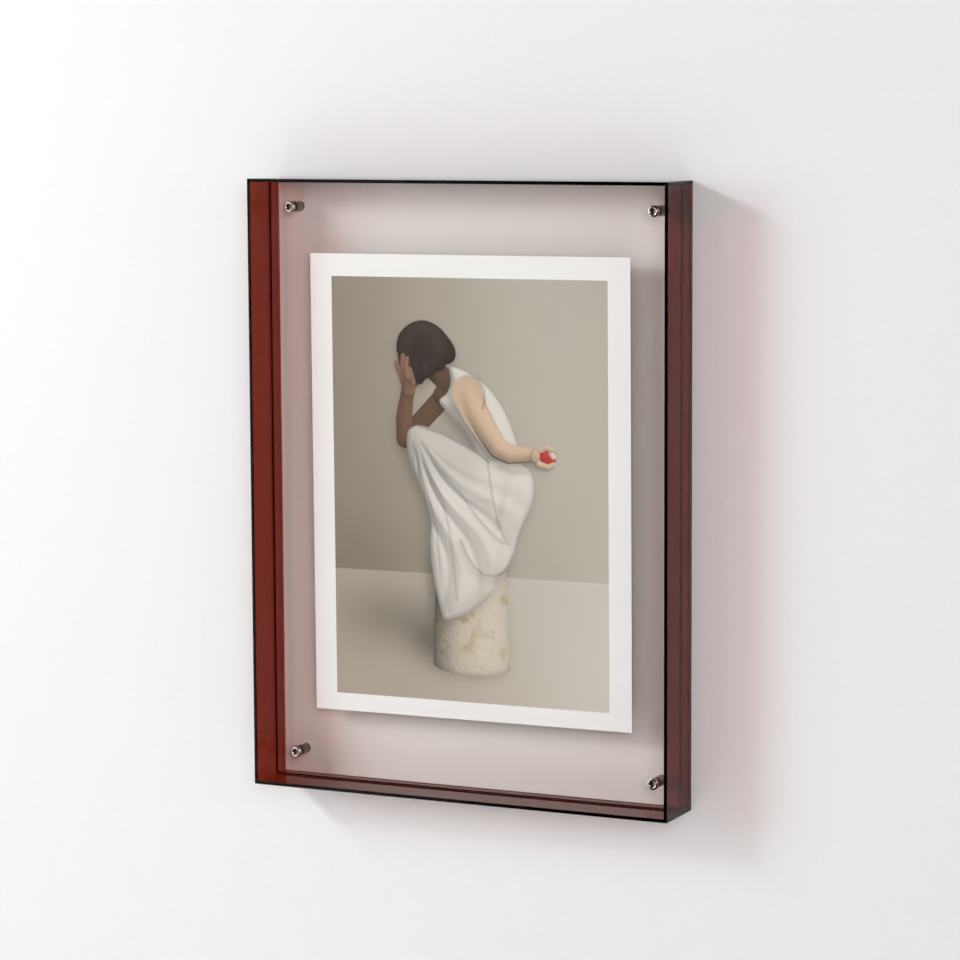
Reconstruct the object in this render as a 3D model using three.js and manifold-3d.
// Floating frame: a deep open-fronted box of tinted acrylic that holds a print between two clear
// sheets, stood off from a clear back sheet by four stainless stand-offs.
//
// Millimetres. The origin is the centre of the wall plane that the box's rear edges lie on.
// The front is towards -Y, +Z is up and +X is to the right of a viewer in front.

import * as THREE from "three";
import { mergeVertices } from "three/addons/utils/BufferGeometryUtils.js";
import Module from "manifold-3d";

// Tinted box: four mitred side walls.
const BOX_WIDTH = 390;
const BOX_HEIGHT = 530;
const BOX_DEPTH = 55;
const WALL_THICKNESS = 3;
const MITRE_RELIEF = 0.07; // what each mitred end is short by, along the wall, for the cement
const CEMENT_GAP = 0.1; // between the back sheet's edge and the walls

// Depth stack, from the wall plane forwards.
const REAR_RECESS = 2.6;
const BACK_SHEET_THICKNESS = 3;
const BARREL_LENGTH = 12;
const WASHER_THICKNESS = 0.4;
const CLEAR_SHEET_THICKNESS = 2;
const PRINT_SPACE = 0.4; // between the two clear sheets
const PRINT_THICKNESS = 0.3;
const CAP_HEAD_THICKNESS = 3;

// Clear sheets and print.
const SHEET_CLEARANCE = 0.5; // between a loose sheet's edge and the walls
const SHEET_CORNER_RADIUS = 1;
const STUD_HOLE_RADIUS = 3;
const PRINT_WIDTH = 300;
const PRINT_HEIGHT = 400;

// Stand-offs: an M5 stud on each cap goes through both sheets into the barrel.
const STANDOFF_INSET = 25; // from the box's outer faces to the stand-off's axis
const CAP_RADIUS = 5;
const CAP_CHAMFER = 0.6;
const CAP_SOCKET_ACROSS_FLATS = 5;
const CAP_SOCKET_DEPTH = 1.8;
const STUD_RADIUS = 2.5;
const STUD_ENGAGEMENT = 6; // how far the stud reaches into the barrel
const BARREL_RADIUS = 4.5;
const BARREL_BORE_RADIUS = 2.56;
const BARREL_CHAMFER = 0.3;
const WASHER_RADIUS = 4.6;
const WASHER_HOLE_RADIUS = 2.7;

// Countersunk screws that hold the barrels to the back sheet.
const BACK_SCREW_HEAD_RADIUS = 4.5;
const BACK_SCREW_ENGAGEMENT = 5;
const BACK_SCREW_SOCKET_ACROSS_FLATS = 3;
const BACK_SCREW_SOCKET_DEPTH = 1.6;

// Keyhole hangers behind the print.
const HANGER_OFFSET_X = 100;
const HANGER_HEIGHT_Z = 150;
const HANGER_PLATE_WIDTH = 18;
const HANGER_PLATE_HEIGHT = 52;
const HANGER_PLATE_THICKNESS = 1.5;
const HANGER_PLATE_CORNER_RADIUS = 4;
const KEYHOLE_ENTRY_RADIUS = 5;
const KEYHOLE_ENTRY_Z = -4; // from the plate's centre
const KEYHOLE_SLOT_RADIUS = 2.5;
const KEYHOLE_SLOT_TOP_Z = 6;
const KEYHOLE_RELIEF_RADIUS = 6.5; // opening in the back sheet for the wall screw's head
const HANGER_SCREW_SPACING = 40;
const HANGER_SCREW_HEAD_RADIUS = 2.8;
const HANGER_SCREW_RADIUS = 1.5;
const HANGER_SCREW_LENGTH = 8;
const HANGER_SCREW_SOCKET_ACROSS_FLATS = 2;
const HANGER_SCREW_SOCKET_DEPTH = 0.9;
const HANGER_SCREW_HOLE_RADIUS = 1.7;
const HANGER_NUT_ACROSS_FLATS = 5.5;
const HANGER_NUT_THICKNESS = 2.4;
const HANGER_NUT_BORE_RADIUS = 1.56;

const SCREW_CLEARANCE = 0.1; // round a countersunk head or a plain shank
const THREAD_CHAMFER = 0.4; // at the tip of every stud and screw
const ROUND_SEGMENTS = 24;
const HOLE_CURVE_SEGMENTS = 12; // three.js draws a full circle with twice as many sides
const CUT_OVERRUN = 1; // how far a cutting tool runs past the face that it opens

// Planes of the depth stack, as y. Towards the front is negative.
const BACK_SHEET_REAR = -REAR_RECESS;
const BACK_SHEET_FRONT = BACK_SHEET_REAR - BACK_SHEET_THICKNESS;
const BARREL_FRONT = BACK_SHEET_FRONT - BARREL_LENGTH;
const REAR_SHEET_REAR = BARREL_FRONT - WASHER_THICKNESS;
const REAR_SHEET_FRONT = REAR_SHEET_REAR - CLEAR_SHEET_THICKNESS;
const PRINT_REAR = REAR_SHEET_FRONT - (PRINT_SPACE - PRINT_THICKNESS) / 2;
const FRONT_SHEET_REAR = REAR_SHEET_FRONT - PRINT_SPACE;
const FRONT_SHEET_FRONT = FRONT_SHEET_REAR - CLEAR_SHEET_THICKNESS;
const CAP_REAR = FRONT_SHEET_FRONT - WASHER_THICKNESS;
const CAP_FRONT = CAP_REAR - CAP_HEAD_THICKNESS;
const STUD_TIP = BARREL_FRONT + STUD_ENGAGEMENT;
const BACK_SCREW_TIP = BACK_SHEET_FRONT - BACK_SCREW_ENGAGEMENT;
const HANGER_PLATE_REAR = BACK_SHEET_REAR + HANGER_PLATE_THICKNESS;

const CORNERS = [
  { place: "top_left", x: -1, z: 1 },
  { place: "top_right", x: 1, z: 1 },
  { place: "bottom_left", x: -1, z: -1 },
  { place: "bottom_right", x: 1, z: -1 },
];
const SIDES = [
  { place: "left", x: -1 },
  { place: "right", x: 1 },
];
const ENDS = [
  { place: "upper", z: 1 },
  { place: "lower", z: -1 },
];

const wasm = await Module();
wasm.setup();

// Finishes. Every mesh gets a material of its own.

const FINISHES = {
  tintedAcrylic: { color: 0x6e241c, roughness: 0.08, metalness: 0, transparent: true, opacity: 0.8 },
  clearAcrylic: { color: 0xeef2f0, roughness: 0.05, metalness: 0, transparent: true, opacity: 0.2 },
  paper: { color: 0xecebe8, roughness: 0.8, metalness: 0 },
  stainless: { color: 0xb9b6b0, roughness: 0.3, metalness: 1 },
  zincSteel: { color: 0xa7abad, roughness: 0.45, metalness: 1 },
  clearNylon: { color: 0xe4e4df, roughness: 0.4, metalness: 0, transparent: true, opacity: 0.5 },
};

function named(name, geometry, finish) {
  const mesh = new THREE.Mesh(geometry, new THREE.MeshStandardMaterial(FINISHES[finish]));
  mesh.name = name;
  return mesh;
}

// Shapes. Outlines are drawn as seen from the front: x to the right, y up.

// A flat piece of an outline, with its rear face at y = 0 and its front towards -Y.
function plate(outline, thickness) {
  const geometry = new THREE.ExtrudeGeometry(outline, {
    depth: thickness,
    bevelEnabled: false,
    curveSegments: HOLE_CURVE_SEGMENTS,
  });
  return geometry.rotateX(Math.PI / 2);
}

// A piece turned about the Y axis from [radius, y] pairs that run towards the front.
function turned(profile) {
  const points = profile.map(([radius, y]) => new THREE.Vector2(radius, y)).reverse();
  return new THREE.LatheGeometry(points, ROUND_SEGMENTS);
}

function roundedRectangle(width, height, radius) {
  const x = width / 2 - radius;
  const z = height / 2 - radius;
  const outline = new THREE.Shape();
  outline.absarc(x, z, radius, 0, Math.PI / 2);
  outline.absarc(-x, z, radius, Math.PI / 2, Math.PI);
  outline.absarc(-x, -z, radius, Math.PI, 1.5 * Math.PI);
  outline.absarc(x, -z, radius, 1.5 * Math.PI, 2 * Math.PI);
  outline.closePath();
  return outline;
}

function roundHole(x, z, radius) {
  return new THREE.Path().absarc(x, z, radius, 0, 2 * Math.PI);
}

// An upright slot with round ends.
function slotHole(x, bottom, top, radius) {
  const hole = new THREE.Path();
  hole.absarc(x, top, radius, 0, Math.PI);
  hole.absarc(x, bottom, radius, Math.PI, 2 * Math.PI);
  hole.closePath();
  return hole;
}

function hexagon(acrossFlats) {
  const radius = acrossFlats / Math.sqrt(3);
  const corners = [0, 1, 2, 3, 4, 5].map(
    (i) => new THREE.Vector2(radius * Math.cos((i * Math.PI) / 3), radius * Math.sin((i * Math.PI) / 3)),
  );
  return new THREE.Shape(corners);
}

// Cuts.

function solidOf(geometry) {
  const bare = geometry.clone().deleteAttribute("normal").deleteAttribute("uv");
  const merged = mergeVertices(bare);
  const mesh = new wasm.Mesh({
    numProp: 3,
    vertProperties: merged.attributes.position.array,
    triVerts: new Uint32Array(merged.index.array),
  });
  return new wasm.Manifold(mesh);
}

function geometryOf(solid) {
  const mesh = solid.getMesh();
  const geometry = new THREE.BufferGeometry();
  geometry.setAttribute("position", new THREE.BufferAttribute(mesh.vertProperties, 3));
  geometry.setIndex(new THREE.BufferAttribute(mesh.triVerts, 1));
  const faceted = geometry.toNonIndexed();
  faceted.computeVertexNormals();
  return faceted;
}

function cut(geometry, tools) {
  const solid = tools.reduce((rest, tool) => rest.subtract(solidOf(tool)), solidOf(geometry));
  return geometryOf(solid);
}

// A hexagonal socket that opens at y = mouth and is deep towards +Y, or towards -Y if depth is negative.
function socketTool(acrossFlats, mouth, depth) {
  const away = Math.sign(depth);
  const start = mouth - away * CUT_OVERRUN;
  const end = mouth + depth;
  return plate(hexagon(acrossFlats), Math.abs(end - start)).translate(0, Math.max(start, end), 0);
}

// A countersunk hole that opens at y = face and runs right through towards the front.
function countersinkTool(x, z, face, headRadius, shankRadius, thickness) {
  const head = headRadius + SCREW_CLEARANCE;
  const shank = shankRadius + SCREW_CLEARANCE;
  const tool = turned([
    [0, face + CUT_OVERRUN],
    [head, face + CUT_OVERRUN],
    [head, face],
    [shank, face - (head - shank)],
    [shank, face - thickness - CUT_OVERRUN],
    [0, face - thickness - CUT_OVERRUN],
  ]);
  return tool.translate(x, 0, z);
}

// Tinted box.

// A side wall lies on its outer face, z = 0, and both its ends are mitred.
function sideWall(length) {
  const outer = length / 2 - MITRE_RELIEF;
  const inner = outer - WALL_THICKNESS;
  const outline = new THREE.Shape([
    new THREE.Vector2(-outer, 0),
    new THREE.Vector2(outer, 0),
    new THREE.Vector2(inner, WALL_THICKNESS),
    new THREE.Vector2(-inner, WALL_THICKNESS),
  ]);
  return plate(outline, BOX_DEPTH);
}

function box() {
  const group = new THREE.Group();
  const walls = [
    { place: "bottom", length: BOX_WIDTH, reach: BOX_HEIGHT / 2, turn: 0 },
    { place: "left", length: BOX_HEIGHT, reach: BOX_WIDTH / 2, turn: Math.PI / 2 },
    { place: "top", length: BOX_WIDTH, reach: BOX_HEIGHT / 2, turn: Math.PI },
    { place: "right", length: BOX_HEIGHT, reach: BOX_WIDTH / 2, turn: -Math.PI / 2 },
  ];
  for (const wall of walls) {
    const mesh = named(`side_wall_${wall.place}`, sideWall(wall.length), "tintedAcrylic");
    mesh.rotation.y = wall.turn;
    mesh.position.set(-Math.sin(wall.turn) * wall.reach, 0, -Math.cos(wall.turn) * wall.reach);
    group.add(mesh);
  }
  return group;
}

// Sheets and print.

const STANDOFF_X = BOX_WIDTH / 2 - STANDOFF_INSET;
const STANDOFF_Z = BOX_HEIGHT / 2 - STANDOFF_INSET;

function backSheet() {
  const width = BOX_WIDTH - 2 * (WALL_THICKNESS + CEMENT_GAP);
  const height = BOX_HEIGHT - 2 * (WALL_THICKNESS + CEMENT_GAP);
  const outline = new THREE.Shape([
    new THREE.Vector2(-width / 2, -height / 2),
    new THREE.Vector2(width / 2, -height / 2),
    new THREE.Vector2(width / 2, height / 2),
    new THREE.Vector2(-width / 2, height / 2),
  ]);
  for (const side of SIDES) {
    const x = side.x * HANGER_OFFSET_X;
    const entry = HANGER_HEIGHT_Z + KEYHOLE_ENTRY_Z;
    const top = HANGER_HEIGHT_Z + KEYHOLE_SLOT_TOP_Z;
    outline.holes.push(slotHole(x, entry, top, KEYHOLE_RELIEF_RADIUS));
    for (const end of ENDS) {
      const z = HANGER_HEIGHT_Z + (end.z * HANGER_SCREW_SPACING) / 2;
      outline.holes.push(roundHole(x, z, HANGER_SCREW_HOLE_RADIUS));
    }
  }
  const countersinks = CORNERS.map((corner) =>
    countersinkTool(
      corner.x * STANDOFF_X,
      corner.z * STANDOFF_Z,
      0,
      BACK_SCREW_HEAD_RADIUS,
      STUD_RADIUS,
      BACK_SHEET_THICKNESS,
    ),
  );
  const mesh = named("back_sheet", cut(plate(outline, BACK_SHEET_THICKNESS), countersinks), "clearAcrylic");
  mesh.position.y = BACK_SHEET_REAR;
  return mesh;
}

function looseSheet(name, rear) {
  const width = BOX_WIDTH - 2 * (WALL_THICKNESS + SHEET_CLEARANCE);
  const height = BOX_HEIGHT - 2 * (WALL_THICKNESS + SHEET_CLEARANCE);
  const outline = roundedRectangle(width, height, SHEET_CORNER_RADIUS);
  for (const corner of CORNERS) {
    outline.holes.push(roundHole(corner.x * STANDOFF_X, corner.z * STANDOFF_Z, STUD_HOLE_RADIUS));
  }
  const mesh = named(name, plate(outline, CLEAR_SHEET_THICKNESS), "clearAcrylic");
  mesh.position.y = rear;
  return mesh;
}

function print() {
  const geometry = new THREE.BoxGeometry(PRINT_WIDTH, PRINT_THICKNESS, PRINT_HEIGHT);
  const mesh = named("print_sheet", geometry, "paper");
  mesh.position.y = PRINT_REAR - PRINT_THICKNESS / 2;
  return mesh;
}

// Stand-offs.

function cap() {
  const body = turned([
    [0, STUD_TIP],
    [STUD_RADIUS - THREAD_CHAMFER, STUD_TIP],
    [STUD_RADIUS, STUD_TIP - THREAD_CHAMFER],
    [STUD_RADIUS, CAP_REAR],
    [CAP_RADIUS, CAP_REAR],
    [CAP_RADIUS, CAP_FRONT + CAP_CHAMFER],
    [CAP_RADIUS - CAP_CHAMFER, CAP_FRONT],
    [0, CAP_FRONT],
  ]);
  return cut(body, [socketTool(CAP_SOCKET_ACROSS_FLATS, CAP_FRONT, CAP_SOCKET_DEPTH)]);
}

function barrel() {
  return turned([
    [BARREL_BORE_RADIUS, BACK_SHEET_FRONT],
    [BARREL_RADIUS - BARREL_CHAMFER, BACK_SHEET_FRONT],
    [BARREL_RADIUS, BACK_SHEET_FRONT - BARREL_CHAMFER],
    [BARREL_RADIUS, BARREL_FRONT + BARREL_CHAMFER],
    [BARREL_RADIUS - BARREL_CHAMFER, BARREL_FRONT],
    [BARREL_BORE_RADIUS, BARREL_FRONT],
    [BARREL_BORE_RADIUS, BACK_SHEET_FRONT],
  ]);
}

function washer(rear) {
  const front = rear - WASHER_THICKNESS;
  return turned([
    [WASHER_HOLE_RADIUS, rear],
    [WASHER_RADIUS, rear],
    [WASHER_RADIUS, front],
    [WASHER_HOLE_RADIUS, front],
    [WASHER_HOLE_RADIUS, rear],
  ]);
}

// A countersunk screw with its flat head at y = rear and its tip towards the front.
function countersunkScrew(rear, tip, headRadius, shankRadius, socketAcrossFlats, socketDepth) {
  const body = turned([
    [0, rear],
    [headRadius, rear],
    [shankRadius, rear - (headRadius - shankRadius)],
    [shankRadius, tip + THREAD_CHAMFER],
    [shankRadius - THREAD_CHAMFER, tip],
    [0, tip],
  ]);
  return cut(body, [socketTool(socketAcrossFlats, rear, -socketDepth)]);
}

function standoff(corner) {
  const group = new THREE.Group();
  const backScrew = countersunkScrew(
    BACK_SHEET_REAR,
    BACK_SCREW_TIP,
    BACK_SCREW_HEAD_RADIUS,
    STUD_RADIUS,
    BACK_SCREW_SOCKET_ACROSS_FLATS,
    BACK_SCREW_SOCKET_DEPTH,
  );
  group.add(named(`standoff_cap_${corner.place}`, cap(), "stainless"));
  group.add(named(`cap_washer_${corner.place}`, washer(FRONT_SHEET_FRONT), "clearNylon"));
  group.add(named(`barrel_washer_${corner.place}`, washer(BARREL_FRONT), "clearNylon"));
  group.add(named(`standoff_barrel_${corner.place}`, barrel(), "stainless"));
  group.add(named(`back_screw_${corner.place}`, backScrew, "stainless"));
  group.position.set(corner.x * STANDOFF_X, 0, corner.z * STANDOFF_Z);
  return group;
}

// Keyhole hangers.

// A round entry hole for the wall screw's head, with a narrower slot above it.
function keyhole() {
  const lip = Math.asin(KEYHOLE_SLOT_RADIUS / KEYHOLE_ENTRY_RADIUS);
  const hole = new THREE.Path();
  hole.absarc(0, KEYHOLE_SLOT_TOP_Z, KEYHOLE_SLOT_RADIUS, 0, Math.PI);
  hole.absarc(0, KEYHOLE_ENTRY_Z, KEYHOLE_ENTRY_RADIUS, Math.PI / 2 + lip, 2.5 * Math.PI - lip);
  hole.closePath();
  return hole;
}

function hangerPlate() {
  const outline = roundedRectangle(HANGER_PLATE_WIDTH, HANGER_PLATE_HEIGHT, HANGER_PLATE_CORNER_RADIUS);
  outline.holes.push(keyhole());
  const countersinks = ENDS.map((end) =>
    countersinkTool(
      0,
      (end.z * HANGER_SCREW_SPACING) / 2,
      0,
      HANGER_SCREW_HEAD_RADIUS,
      HANGER_SCREW_RADIUS,
      HANGER_PLATE_THICKNESS,
    ),
  );
  return cut(plate(outline, HANGER_PLATE_THICKNESS), countersinks).translate(0, HANGER_PLATE_REAR, 0);
}

function hangerNut() {
  const outline = hexagon(HANGER_NUT_ACROSS_FLATS);
  outline.holes.push(roundHole(0, 0, HANGER_NUT_BORE_RADIUS));
  return plate(outline, HANGER_NUT_THICKNESS).translate(0, BACK_SHEET_FRONT, 0);
}

function hanger(side) {
  const group = new THREE.Group();
  group.add(named(`hanger_plate_${side.place}`, hangerPlate(), "zincSteel"));
  for (const end of ENDS) {
    const screw = countersunkScrew(
      HANGER_PLATE_REAR,
      HANGER_PLATE_REAR - HANGER_SCREW_LENGTH,
      HANGER_SCREW_HEAD_RADIUS,
      HANGER_SCREW_RADIUS,
      HANGER_SCREW_SOCKET_ACROSS_FLATS,
      HANGER_SCREW_SOCKET_DEPTH,
    );
    const fixing = new THREE.Group();
    fixing.add(named(`hanger_screw_${side.place}_${end.place}`, screw, "zincSteel"));
    fixing.add(named(`hanger_nut_${side.place}_${end.place}`, hangerNut(), "zincSteel"));
    fixing.position.z = (end.z * HANGER_SCREW_SPACING) / 2;
    group.add(fixing);
  }
  group.position.set(side.x * HANGER_OFFSET_X, 0, HANGER_HEIGHT_Z);
  return group;
}

const floatingFrame = new THREE.Group();
floatingFrame.add(box());
floatingFrame.add(backSheet());
floatingFrame.add(looseSheet("rear_sheet", REAR_SHEET_REAR));
floatingFrame.add(print());
floatingFrame.add(looseSheet("front_sheet", FRONT_SHEET_REAR));
for (const corner of CORNERS) {
  floatingFrame.add(standoff(corner));
}
for (const side of SIDES) {
  floatingFrame.add(hanger(side));
}

export default floatingFrame;
